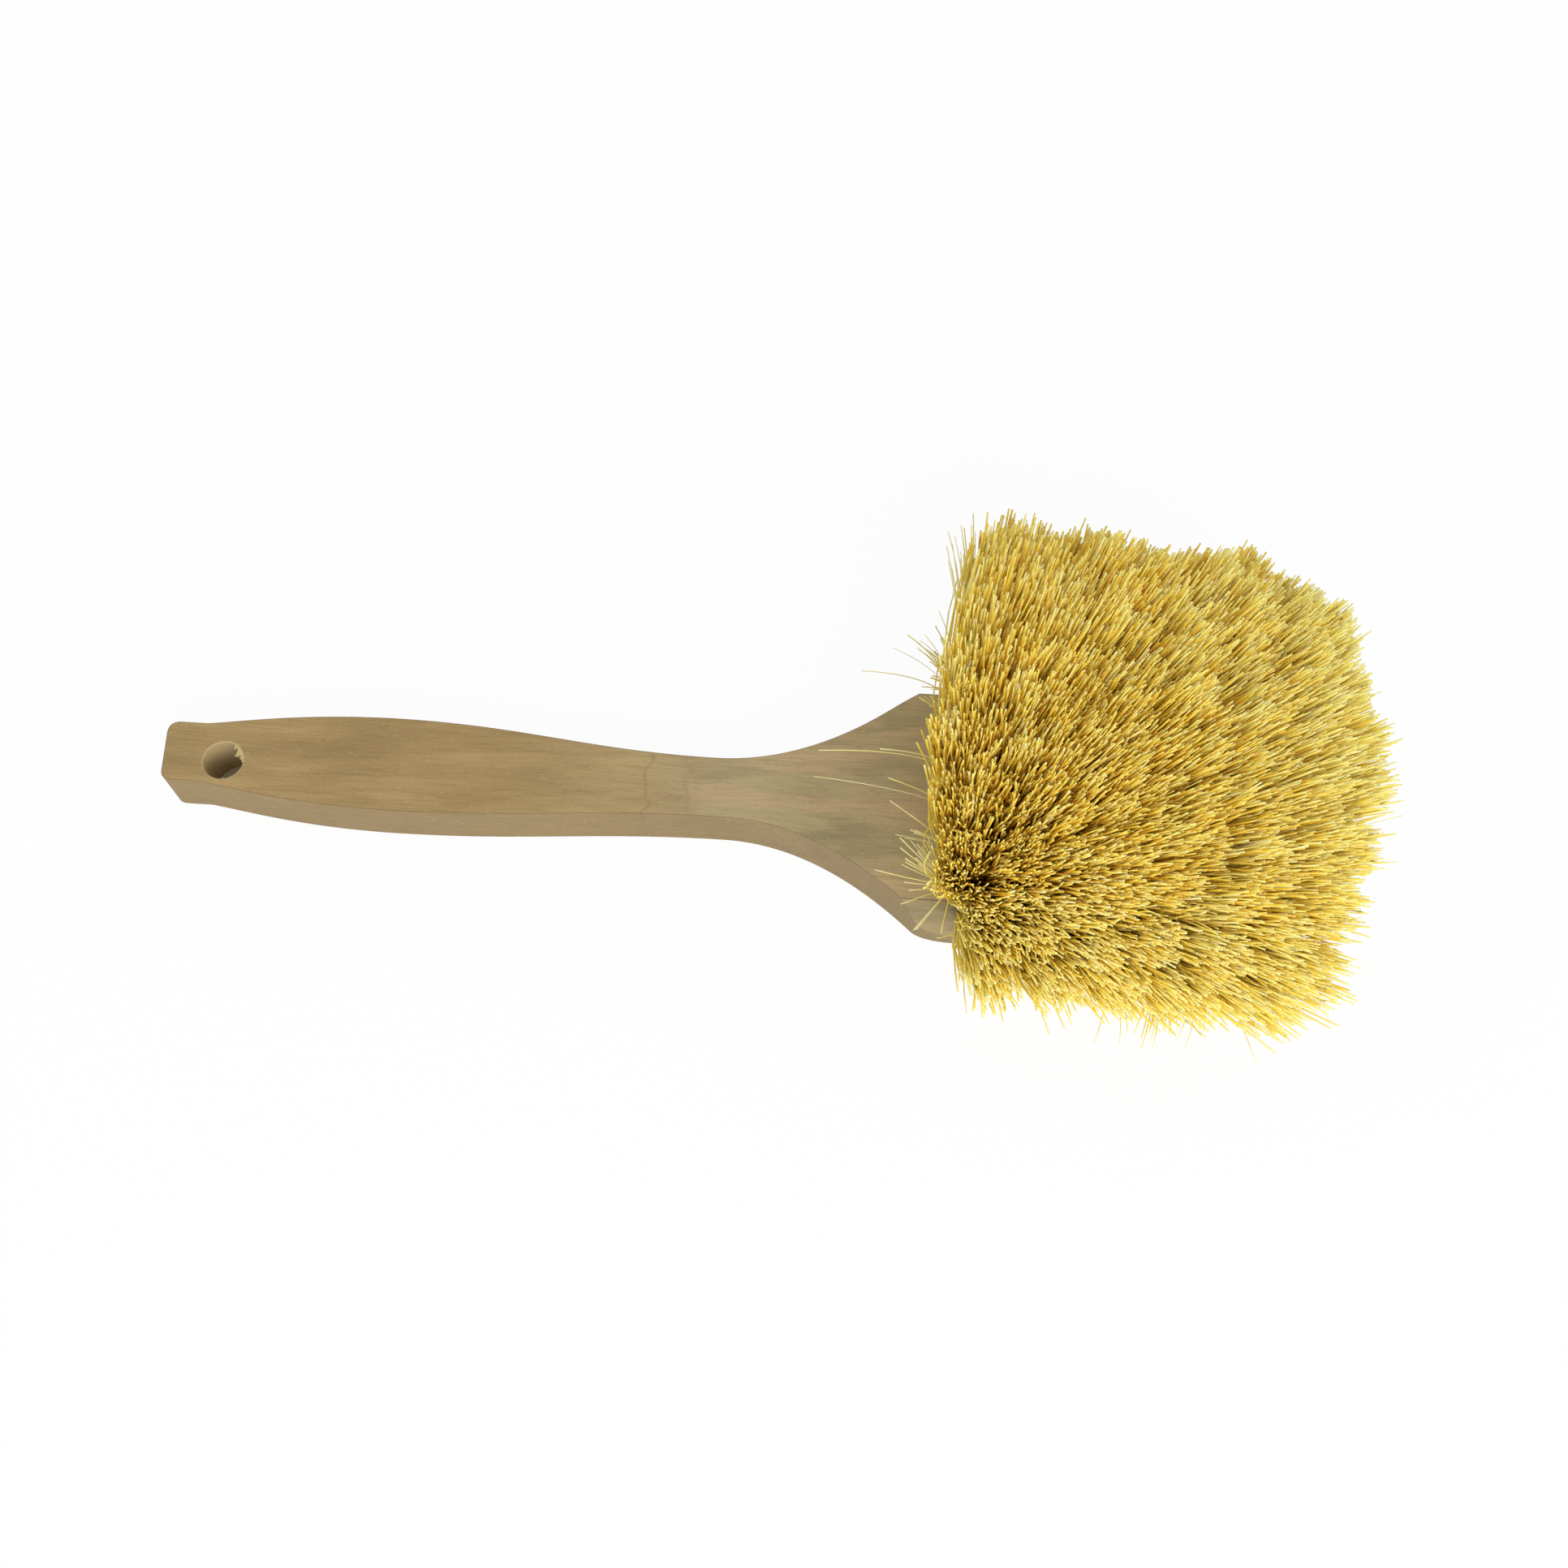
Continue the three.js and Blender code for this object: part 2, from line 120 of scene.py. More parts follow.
class Finish:
    """The node tree of a material or of the world."""

    def __init__(self, owner):
        owner.use_nodes = True
        self.owner = owner
        self.tree = owner.node_tree
        self.tree.nodes.clear()

    def node(self, kind, settings=None, inputs=None, output=0):
        made = self.tree.nodes.new(kind)
        for name, value in (settings or {}).items():
            if name == "stops":
                self.set_stops(made.color_ramp, value)
            else:
                setattr(made, name, value)
        for name, value in (inputs or {}).items():
            if isinstance(value, Level):
                self.tree.links.new(value.socket, made.inputs[name])
            else:
                made.inputs[name].default_value = value
        return Level(self, made.outputs[output]) if made.outputs else made

    def set_stops(self, ramp, stops):
        while len(ramp.elements) < len(stops):
            ramp.elements.new(1)
        for element, (place, colour) in zip(ramp.elements, stops):
            element.position = place
            element.color = colour

    def mix(self, share, first, second):
        settings = {"data_type": "RGBA"}
        return self.node("ShaderNodeMix", settings, {0: share, 6: first, 7: second}, 2)

    def between(self, value, low, high):
        """0 where the value is at low and 1 where it is at high, with a soft start and end."""
        settings = {"interpolation_type": "SMOOTHSTEP"}
        return self.node("ShaderNodeMapRange", settings, {0: value, 1: low, 2: high})

    def noise(self, place, lengths, detail=2, roughness=0.5):
        """Noise whose features are the given lengths along x, y and z."""
        scale = tuple(1 / length for length in lengths)
        placed = self.node("ShaderNodeMapping", None, {"Vector": place, "Scale": scale})
        inputs = {"Vector": placed, "Scale": 1, "Detail": detail, "Roughness": roughness}
        return self.node("ShaderNodeTexNoise", None, inputs)

    def distance(self, place, other):
        settings = {"operation": "DISTANCE"}
        return self.node("ShaderNodeVectorMath", settings, {0: place, 1: other}, "Value")


def paint(red, green, blue):
    """A colour as a screen shows it, from 0 to 255, in the linear form that shaders use."""
    shares = (red / 255, green / 255, blue / 255)
    return tuple(s / 12.92 if s < 0.04045 else ((s + 0.055) / 1.055) ** 2.4 for s in shares) + (1,)


def new_finish(name):
    return Finish(bpy.data.materials.new(name))


# %% [markdown]
# ## Light
# The light in the picture is soft and comes from all round, with a little more from above the
# near side. A white world gives the first part and large lamps the second. A lamp's level is
# the brightness that it adds to a white card lying at the brush, so the levels add up to about
# 1, at which colours render as they are written.

# %% World and lamps
world_level = 0.69
world = Finish(bpy.data.worlds.new("studio"))
bpy.context.scene.world = world.owner


def seen_directly(finish):
    """1 for rays from the camera, and for those off metal and through glass."""
    camera_ray = finish.node("ShaderNodeLightPath", None, None, "Is Camera Ray")
    glossy_ray = finish.node("ShaderNodeLightPath", None, None, "Is Glossy Ray")
    clear_ray = finish.node("ShaderNodeLightPath", None, None, "Is Transmission Ray")
    either = camera_ray.math("MAXIMUM", camera_ray, glossy_ray)
    return camera_ray.math("MAXIMUM", either, clear_ray)


sky_level = world_level + (1 - world_level) * seen_directly(world)
white_sky = {"Color": (1, 1, 1, 1), "Strength": sky_level}
sky = world.node("ShaderNodeBackground", None, white_sky)
world.node("ShaderNodeOutputWorld", None, {"Surface": sky})


def lamp(name, place, side, level):
    away = Vector(place) - aim
    light = bpy.data.lights.new(name, "AREA")
    light.size = side
    light.energy = level * 4 * math.pi * away.length**2 / (away.z / away.length)
    holder = bpy.data.objects.new(name, light)
    holder.location = place
    holder.rotation_euler = away.to_track_quat("Z", "Y").to_euler()
    bpy.context.scene.collection.objects.link(holder)


lamp("key", (0.4, -1.1, 0.85), side=0.9, level=0.28)
lamp("fill", (-0.7, -0.2, 0.9), side=0.8, level=0.05)

# %% [markdown]
# ## The floor
# The floor is a wide pale sheet. Most of what the camera sees of it is plain white, mixed with
# a little of the lit sheet so that the brush keeps a faint shadow. Through the hang hole only
# the lit sheet is seen, because little light gets in there, and under the hole the sheet is
# painted darker and browner, as painted shade and a painted reflection of the wood. The camera
# looks down at a slant, so through the hole it sees a spot a little beyond it.

# %% Floor
board_low, board_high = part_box("brush_block")
board_start = board_low.x
middle_line = (board_low.y + board_high.y) / 2
hang_hole_radius = 6.4 * mm
hang_hole_station = 19 * mm
hang_hole_across = -2.4 * mm
hang_hole_middle = Vector((board_start + hang_hole_station, middle_line + hang_hole_across, 0))
floor_half = 4
plain_white = (1, 1, 1, 1)
floor_colour = (0.88, 0.88, 0.88, 1)
white_share = 0.94

mesh = bpy.data.meshes.new("floor")
bm = bmesh.new()
bmesh.ops.create_grid(bm, x_segments=1, y_segments=1, size=floor_half)
bm.to_mesh(mesh)
bm.free()
floor = bpy.data.objects.new("floor", mesh)
bpy.context.scene.collection.objects.link(floor)

sheet = new_finish("floor sheet")
on_sheet = sheet.node("ShaderNodeTexCoord", None, None, "Object")
seen_through = hang_hole_middle + Vector((0, 6 * mm, 0))
from_spot = sheet.distance(on_sheet, seen_through)
open_floor = sheet.between(from_spot, hang_hole_radius, 1.4 * hang_hole_radius)
whiteness = white_share * seen_directly(sheet) * open_floor
# Under the hole the sheet is painted darker and browner: painted shade with a painted reflection of
# the wood.
pale = sheet.mix(open_floor, paint(222, 214, 184), floor_colour)
lit = sheet.node("ShaderNodeBsdfDiffuse", None, {"Color": pale})
white = sheet.node("ShaderNodeEmission", None, {"Color": plain_white})
mixed = sheet.node("ShaderNodeMixShader", None, {0: whiteness, 1: lit, 2: white})
sheet.node("ShaderNodeOutputMaterial", None, {"Surface": mixed})
floor.data.materials.append(sheet.owner)
print("floor", 2 * floor_half, "m square")

# %% [markdown]
# ## The board's sizes
# The board is planed to 19 mm, and its outline is a paddle: a square tail, a swelling grip, a
# slim waist, and a flare up to the straight sides of the head. Stations are measured along the
# board from the tail, and half widths from its middle line.

# %% Sizes of the board
board_thickness = board_high.z
block_length = board_high.x - board_low.x
head_half_width = (board_high.y - board_low.y) / 2
handle_length = 251 * mm
shoulder_station = {-1: handle_length - 14.5 * mm, 1: handle_length - 24.1 * mm}
shoulder_half_width = {-1: 38 * mm, 1: 30 * mm}
tail_half_width = 10 * mm
tail_start = -0.2 * mm
tail_station = 12 * mm
tail_corner = {-1: 3.6 * mm, 1: 4 * mm}
tail_skew = 0.8 * mm
grip_half_width = 15.8 * mm
grip_station = 72 * mm
waist_half_width = {-1: 11 * mm, 1: 9.1 * mm}
waist_station = {-1: 176 * mm, 1: 172 * mm}
straight_half_width = {-1: head_half_width - 2 * mm, 1: head_half_width - 0.5 * mm}
nose_corner = 12 * mm
bevel_run = 9 * mm
bevel_land = 2 * mm
edge_ease = 0.6 * mm
print("board", round(block_length / mm, 1), "mm long,", round(board_thickness / mm, 1), "mm thick")

# %% [markdown]
# ## The outline
# Each long edge is a chain of Bezier stretches, the same ones that a maker would draw on the
# board with a French curve. A corner needs one control point, so it is drawn as a quadratic
# and raised to a cubic, which Blender can sample.

# %% Outline
steps_per_stretch = 22


def rounded(start, control, end):
    """A stretch with one control point, as a cubic."""
    return start, start.lerp(control, 2 / 3), end.lerp(control, 2 / 3), end


def straight(start, end):
    return start, start.lerp(end, 1 / 3), start.lerp(end, 2 / 3), end


def point(station, half_width):
    return Vector((station, half_width, 0))


def stretches(side):
    """The stretches from the tail to the nose, on the near side (-1) or on the far side (1)."""
    end = tail_start + (tail_skew if side < 0 else 0)
    slimmest = waist_half_width[side]
    widest = straight_half_width[side]
    swell = grip_station - tail_station
    rise = grip_half_width - tail_half_width
    level_run = 0.4 * (waist_station[side] - grip_station)  # how long grip and waist stay level
    shoulder = point(shoulder_station[side], shoulder_half_width[side])
    flare_middle = (waist_station[side] + shoulder.x) / 2
    slope = (shoulder.y - slimmest) / (shoulder.x - flare_middle)
    shoulder_top = shoulder.x + (widest - shoulder.y) / slope
    tail_inner = point(end, tail_half_width - tail_corner[side])
    tail_outer = point(end + tail_corner[side], tail_half_width)
    tail = point(tail_station, tail_half_width)
    grip = point(grip_station, grip_half_width)
    waist = point(waist_station[side], slimmest)
    head = point(handle_length, widest)
    nose_outer = point(block_length - nose_corner, widest)
    nose_inner = point(block_length, widest - nose_corner)
    lift = point(tail_station + 0.17 * swell, tail_half_width + 0.23 * rise)
    level_off = point(tail_station + 0.5 * swell, grip_half_width)
    return [
        rounded(tail_inner, point(end, tail_half_width), tail_outer),
        straight(tail_outer, tail),
        (tail, lift, level_off, grip),
        (grip, grip + point(level_run, 0), waist - point(level_run, 0), waist),
        rounded(waist, point(flare_middle, slimmest), shoulder),
        rounded(shoulder, point(shoulder_top, widest), head),
        straight(head, nose_outer),
        rounded(nose_outer, point(block_length, widest), nose_inner),
    ]


def long_edge(side):
    points = []
    for stretch in stretches(side):
        points += interpolate_bezier(*stretch, steps_per_stretch)[:-1]
    points.append(stretch[-1])
    return [Vector((board_start + p.x, middle_line + side * p.y, 0)) for p in points]


outline = long_edge(-1) + long_edge(1)[::-1]
print(len(outline), "points round the board")

# %% [markdown]
# ## The board
# The outline becomes a face and is pulled up to the board's thickness. Three planes then take
# off the sides and the nose of the head, as a tilted saw would. Last, every sharp edge is eased,
# and the finish paints a thin darker line along it.

# %% Board with its bevels
crown_half_width = head_half_width - bevel_run
far_crease_shift = 2.2 * mm
bevel_height = board_thickness - bevel_land
same_corner = 0.01 * mm
tiny_edge = 0.1 * mm
sharp_turn = math.radians(20)


def crease(outward):
    """A point on the crease of a bevel that faces outward, and the bevel's normal."""
    reach = block_length - bevel_run if outward.x > 0 else crown_half_width
    if outward.y > 0:
        reach += far_crease_shift
    start = Vector((board_start, middle_line, board_thickness))
    normal = (outward * bevel_height + Vector((0, 0, bevel_run))).normalized()
    return start + outward * reach, normal


near = Vector((0, -1, 0))
far = Vector((0, 1, 0))
nose = Vector((1, 0, 0))

bm = bmesh.new()
bm.faces.new([bm.verts.new(p) for p in outline])
raised = bmesh.ops.extrude_face_region(bm, geom=bm.faces[:])["geom"]
raised_corners = [g for g in raised if isinstance(g, bmesh.types.BMVert)]
bmesh.ops.translate(bm, verts=raised_corners, vec=(0, 0, board_thickness))
bmesh.ops.remove_doubles(bm, verts=bm.verts, dist=same_corner)
bmesh.ops.recalc_face_normals(bm, faces=bm.faces)
for outward in (near, far, nose):
    on_crease, normal = crease(outward)
    everything = bm.verts[:] + bm.edges[:] + bm.faces[:]
    cut = bmesh.ops.bisect_plane(
        bm, geom=everything, plane_co=on_crease, plane_no=normal, clear_outer=True
    )
    rim = [g for g in cut["geom_cut"] if isinstance(g, bmesh.types.BMEdge)]
    bmesh.ops.contextual_create(bm, geom=rim)
bmesh.ops.remove_doubles(bm, verts=bm.verts, dist=tiny_edge)
bmesh.ops.recalc_face_normals(bm, faces=bm.faces)
sharp_edges = [e for e in bm.edges if e.is_manifold and e.calc_face_angle() > sharp_turn]
bmesh.ops.bevel(
    bm,
    geom=sharp_edges,
    offset=edge_ease,
    offset_type="OFFSET",
    segments=3,
    profile=0.5,
    affect="EDGES",
    material=-1,
    clamp_overlap=True,
)
board_mesh = bpy.data.meshes.new("wood_block")
bm.to_mesh(board_mesh)
print(len(bm.faces), "faces,", sum(not e.is_manifold for e in bm.edges), "open edges")
bm.free()
wood_block = bpy.data.objects.new("wood_block", board_mesh)
bpy.context.scene.collection.objects.link(wood_block)

# %% [markdown]
# ## Where the tufts grow
# Tufts stand on the face in columns of six and five in turn, and in one row on each bevel. A
# tuft is known by the point where its middle leaves the wood, by the way its hole is drilled,
# and by the way its fibres are combed, which is not quite the same once the brush has been
# used. Both lean more the further out a tuft stands, and that makes the fan. The tufts of the
# near side have split into two sheaves, one above the other.

# %% Places of the tufts
tuft_hole_radius = 3.3 * mm
tuft_hole_depth = 8.5 * mm
first_station = handle_length - 3 * mm
last_station = block_length - bevel_run - 7 * mm
row_half_span = crown_half_width - 5.5 * mm
bevel_root_z = 0.66 * board_thickness
bevel_root_run = bevel_run * (board_thickness - bevel_root_z) / bevel_height
nose_half_span = head_half_width - 12 * mm
near_start = first_station + 5.5 * mm


@dataclass
class Tuft:
    root: Vector
    lean: Vector  # the way its hole is drilled, of length 1
    combs: list  # from its hole to the middle of each of its sheaves, the lowest last
    row: str
    share: float  # how far along its row, from 0 to 1


def lerp(start, end, share):
    return start + (end - start) * share


def splayed(splay, heading):
    """A direction at this angle from upright. The heading is turned from the nose's."""
    out = math.sin(math.radians(splay))
    x = out * math.cos(math.radians(heading))
    y = out * math.sin(math.radians(heading))
    return Vector((x, y, math.cos(math.radians(splay))))


def tilted(forward, sideways):
    """A direction that leans by these angles towards the nose and the far side."""
    x = math.tan(math.radians(forward))
    y = math.tan(math.radians(sideways))
    return Vector((x, y, 1)).normalized()


print("tufts stand", round((last_station - first_station) / mm, 1), "mm along the head")

# %% [markdown]
# ## The rows of tufts
# All angles are in degrees and all trims, which are the lengths of the fibres above the wood, in
# millimetres. A pair of values is for the two ends of a row, or for the near and the far end of
# a column, and the tufts in between get what lies in between.

# %% Rows
crown_columns = 6
crown_rows = (6, 5)
crown_trims = (66, 64)
back_holes = (-12, 2)
back_combed = ([0, 0.4, 1], [-6, -8, 4])  # shares of the way across, angles there
front_angles = (36, 40)
sideways_holes = (-26, 26)
sideways_combed = (-13, 23)

side_count = 6
side_hole_headings = (10, 38)

nose_count = 7
nose_holes = (41, 58)
nose_hole_headings = (-38, 38)
nose_combed = (38, 53)
nose_combed_headings = (-36, 36)
nose_middle_trim = 65.3
nose_end_trim = 61.3


def crown_tufts():
    tufts = []
    pitch = 2 * row_half_span / (crown_rows[0] - 1)
    for column in range(crown_columns):
        back_to_front = column / (crown_columns - 1)
        rows = crown_rows[column % 2]
        for row in range(rows):
            y = (row - (rows - 1) / 2) * pitch
            across = (y / row_half_span + 1) / 2
            front = lerp(*front_angles, across)
            forward = lerp(lerp(*back_holes, across), front, back_to_front)
            lean = tilted(forward, lerp(*sideways_holes, across))
            combed = lerp(np.interp(across, *back_combed), front, back_to_front**0.65)
            comb = tilted(combed, lerp(*sideways_combed, across)) * lerp(*crown_trims, across) * mm
            station = lerp(first_station, last_station, back_to_front)
            root = Vector((board_start + station, middle_line + y, board_thickness))
            tufts.append(Tuft(root, lean, [comb], "crown", back_to_front))
    return tufts


def side_tufts(side, row, start, drilled, sheaves, swept, trims):
    """A row on the near bevel (side -1) or on the far one (1)."""
    tufts = []
    for i in range(side_count):
        share = i / (side_count - 1)
        station = lerp(start, last_station, share)
        y = side * (crown_half_width + bevel_root_run)
        root = Vector((board_start + station, middle_line + y, bevel_root_z))
        lean = splayed(lerp(*drilled, share), side * (90 - lerp(*side_hole_headings, share)))
        heading = side * (90 - lerp(*swept, share**0.75))
        trim = lerp(*trims, share) * mm
        combs = [splayed(lerp(*splays, share), heading) * trim for splays in sheaves]
        tufts.append(Tuft(root, lean, combs, row, share))
    return tufts


def nose_tufts():
    tufts = []
    for i in range(nose_count):
        share = i / (nose_count - 1)
        station = block_length - bevel_run + bevel_root_run
        y = lerp(-nose_half_span, nose_half_span, share)
        root = Vector((board_start + station, middle_line + y, bevel_root_z))
        lean = splayed(lerp(*nose_holes, share), lerp(*nose_hole_headings, share))
        comb = splayed(lerp(*nose_combed, share), lerp(*nose_combed_headings, share))
        trim = lerp(nose_middle_trim, nose_end_trim, (2 * share - 1) ** 2) * mm
        tufts.append(Tuft(root, lean, [comb * trim], "nose", share))
    return tufts


tufts = crown_tufts() + nose_tufts()
tufts += side_tufts(
    side=-1,
    row="near_side",
    start=near_start,
    drilled=(38, 45),
    sheaves=[(26, 32), (37.5, 45)],
    swept=(0, 30),
    trims=(67, 65.5),
)
tufts += side_tufts(
    side=1,
    row="far_side",
    start=first_station,
    drilled=(47, 56),
    sheaves=[(43.5, 53)],
    swept=(12, 33),
    trims=(62, 59),
)
print(len(tufts), "tufts")

# %% [markdown]
# ## Drilling
# Each tuft sits in a blind hole, drilled along its lean. The holes are cylinders that will be
# taken away from the board. They start above the wood, so that they cut cleanly through its
# face, and their ends are left flat as a floor for the staple.

# %% Tuft holes
tuft_hole_sides = 24
overrun = 6 * mm


def tuft_drills(bm):
    for tuft in tufts:
        length = tuft_hole_depth + overrun
        turned = tuft.lean.to_track_quat("Z", "X").to_matrix().to_4x4()
        middle = tuft.root + tuft.lean * (overrun - tuft_hole_depth) / 2
        bmesh.ops.create_cone(
            bm,
            cap_ends=True,
            segments=tuft_hole_sides,
            radius1=tuft_hole_radius,
            radius2=tuft_hole_radius,
            depth=length,
            matrix=Matrix.Translation(middle) @ turned,
        )


print("tuft holes", round(2 * tuft_hole_radius / mm, 1), "mm wide")

# %% [markdown]
# ## The hang hole's drill
# The hang hole goes right through. Its drill broke out of the wood at the far right and left
# torn fibres there. The cutter is half a section turned about its axis, which gives a stack of
# rings, and the top rings are drawn in where the torn wood stands.

# %% Hang hole
seam_gap = 0.001 * mm


def torn_share(angle):
    """How far torn wood stands out at this angle, as a share of its usual reach."""
    start, end = math.radians(-2), math.radians(66)
    share = (angle - start) / (end - start)
    if not 0 < share < 1:
        return 0
    splinters = noise.noise(Vector((share * 13, 0.3, 0)))
    shreds = noise.noise(Vector((share * 37, 2, 0)))
    ragged = splinters + 0.7 * shreds
    return max(0, math.sin(math.pi * share) ** 0.6 * (0.65 + 0.9 * ragged))


def hang_drill(bm):
    sides = 240
    ease = 0.35 * mm
    tear_depth = 1.2 * mm
    tear_reach = 1.9 * mm
    top = board_thickness
    radius = hang_hole_radius - 0.5 * ease
    half_section = [
        (0, -overrun),
        (radius + ease, -overrun),
        (radius + ease, 0),
        (radius + 0.3 * ease, 0.3 * ease),
        (radius, ease),
        (radius, top - tear_depth),
        (radius, top - 0.9 * tear_depth),
        (radius + 0.1 * ease, top - 0.8 * ease),
        (radius + 0.4 * ease, top - 0.3 * ease),
        (radius + ease, top),
        (radius + ease, top + overrun),
        (0, top + overrun),
    ]
    verts = [bm.verts.new((x, 0, z)) for x, z in half_section]
    edges = [bm.edges.new(pair) for pair in zip(verts, verts[1:])]
    bmesh.ops.spin(
        bm,
        geom=verts + edges,
        cent=(0, 0, 0),
        axis=(0, 0, 1),
        angle=2 * math.pi,
        steps=sides,
        use_merge=True,
    )
    bmesh.ops.remove_doubles(bm, verts=bm.verts, dist=seam_gap)
    for vert in bm.verts:
        if vert.co.z > top - 0.95 * tear_depth:
            pull = tear_reach * torn_share(math.atan2(vert.co.y, vert.co.x))
            reach = vert.co.xy.length
            if reach > 0:
                vert.co.xy *= 1 - pull / reach
    bmesh.ops.translate(bm, verts=bm.verts, vec=hang_hole_middle)


print("hang hole", round(2 * hang_hole_radius / mm, 1), "mm wide")

# %% [markdown]
# ## Taking the holes out of the board
# A Boolean modifier takes the drills away. The exact solver is the slower one, but it copes with
# drills that touch each other. The result is kept as the board's own mesh and the drills are
# thrown away. Weighted normals then keep the flat faces flat in the light.

# %% Drilled board
crease_angle = math.radians(32)


def drill(piece, name, shape):
    """Takes the drills that shape() makes away from the piece."""
    bm = bmesh.new()
    shape(bm)
    bmesh.ops.recalc_face_normals(bm, faces=bm.faces)
    mesh = bpy.data.meshes.new(name)
    bm.to_mesh(mesh)
    bm.free()
    drills = bpy.data.objects.new(name, mesh)
    bpy.context.scene.collection.objects.link(drills)
    holes = piece.modifiers.new(name, "BOOLEAN")
    holes.operation = "DIFFERENCE"
    holes.solver = "EXACT"
    holes.use_self = True
    holes.object = drills
    return drills


def settle(piece, helpers=()):
    """Makes the modifiers' result the piece's own mesh, and clears away what helped."""
    graph = bpy.context.evaluated_depsgraph_get()
    mesh = bpy.data.meshes.new_from_object(piece.evaluated_get(graph), depsgraph=graph)
    piece.modifiers.clear()
    piece.data = mesh
    mesh.name = piece.name
    for helper in helpers:
        bpy.data.objects.remove(helper)


drills = [drill(wood_block, "tuft_drills", tuft_drills)]
drills.append(drill(wood_block, "hang_drill", hang_drill))
settle(wood_block, drills)
wood_block.data.shade_smooth()
wood_block.data.set_sharp_from_angle(angle=crease_angle)
weighted = wood_block.modifiers.new("even shading", "WEIGHTED_NORMAL")
weighted.keep_sharp = True
print("wood_block has", len(wood_block.data.polygons), "faces")

# %% [markdown]
# ## The grain
# The board is bare sanded hardwood, cut flat to the rings. Its grain runs along the handle, so
# every pattern is noise drawn out along x: broad patches and streaks, hair-fine lines and short
# dark pores. The finish also reads how far along the board a point lies and how far it faces
# upwards, because the torn hole has a colour of its own, the side walls are painted darker,
# partly their own colour and partly painted shade, a thin darker line is painted along the
# eased edges, and painted light is laid on the top next to the head and inside the hang hole.

# %% Grain
wood = new_finish("bare hardwood")
on_wood = wood.node("ShaderNodeTexCoord", None, None, "Object")
facing = wood.node("ShaderNodeTexCoord", None, None, "Normal")
moved = {"Vector": on_wood, "Location": (-board_start, -middle_line, 0)}
from_start = wood.node("ShaderNodeMapping", None, moved)
station = wood.node("ShaderNodeSeparateXYZ", None, {0: from_start}, "X")
across = wood.node("ShaderNodeSeparateXYZ", None, {0: from_start}, "Y")
height = wood.node("ShaderNodeSeparateXYZ", None, {0: from_start}, "Z")
upwards = wood.node("ShaderNodeSeparateXYZ", None, {0: facing}, "Z")

sway = wood.noise(on_wood, (60 * mm, 30 * mm, 30 * mm), 2)
swayed = {"X": station, "Y": across + 8 * mm * (sway - 0.5), "Z": height}
flow = wood.node("ShaderNodeCombineXYZ", None, swayed)
patches = wood.noise(flow, (45 * mm, 8 * mm, 20 * mm), 4, 0.55)
cloudy = wood.noise(flow, (34 * mm, 7 * mm, 12 * mm), 4, 0.55)
streaks = wood.noise(flow, (60 * mm, 2.6 * mm, 4 * mm), 4, 0.6)
hairs = wood.noise(flow, (14 * mm, 0.5 * mm, 0.7 * mm), 3, 0.6)
flecks = wood.noise(flow, (1.6 * mm, 0.9 * mm, 0.9 * mm), 2)
pore_noise = wood.noise(flow, (2.4 * mm, 0.28 * mm, 0.5 * mm), 1)
pores = wood.between(pore_noise, 0.66, 0.74)
print("grain has", len(wood.tree.nodes), "nodes")

# %% [markdown]
# ## The wood's colours
# The grip is straw and tan with darker streaks. Two ring lines cross the waist, and past them
# the heartwood turns grey, green and rosy. Each colour is laid over the ones before it through
# a mask, as a painter would glaze: first the broad ones, then the side walls and edges, then
# the fine grain.

# %% Colours of the wood
straw = paint(168, 141, 91)
tan = paint(146, 120, 73)
umber = paint(130, 105, 62)
ash = paint(134, 121, 90)
moss = paint(162, 148, 107)
rose = paint(181, 154, 116)
waist_pale = paint(196, 184, 146)
head_painted_light = paint(200, 180, 136)
wall_dark = paint(130, 109, 74)
wall_light = paint(152, 131, 93)
edge_brown = paint(104, 80, 46)
hair_brown = paint(118, 95, 56)
fleck_cream = paint(196, 172, 124)
pore_brown = paint(96, 74, 42)

handle = wood.mix(wood.between(patches, 0.3, 0.7), tan, straw)
handle = wood.mix(0.45 * wood.between(streaks, 0.48, 0.75), handle, umber)
neck = wood.mix(wood.between(patches, 0.34, 0.6), rose, moss)
neck = wood.mix(0.85 * wood.between(cloudy, 0.47, 0.68), neck, ash)

ring_curve = 9  # how strongly the lines bow towards the tail
wobble = wood.noise(on_wood, (12 * mm, 7 * mm, 9 * mm), 3)
ring_station = station + 12 * mm * (wobble - 0.5) - ring_curve * across * across
into_neck = wood.between(ring_station, 140 * mm, 190 * mm)


def ring_line(at_station, width):
    """1 on a line across the board, fading out over the width."""
    beside = ring_station.math("ABSOLUTE", ring_station - at_station)
    return 1 - wood.between(beside, 0, width)


rings = 0.55 * ring_line(151 * mm, 0.9 * mm) + 0.3 * ring_line(164 * mm, 2 * mm)
level_face = wood.between(upwards, 0.9, 0.99)
slim = wood.between(station, 100 * mm, 150 * mm) * (1 - wood.between(station, 175 * mm, 195 * mm))
# Next to the head the top gets painted light: a paler glaze that lifts the shade the fibres cast
# there.
painted_light_near_head = wood.between(station, 205 * mm, 245 * mm) * wood.between(upwards, 0.5, 0.9)
# The side walls are painted darker: partly the sawn wood's own colour, and partly painted shade
# that keeps them from looking brighter than the top under the low near lamp.
side_wall = 1 - wood.between(upwards.math("ABSOLUTE", upwards), 0.1, 0.6)
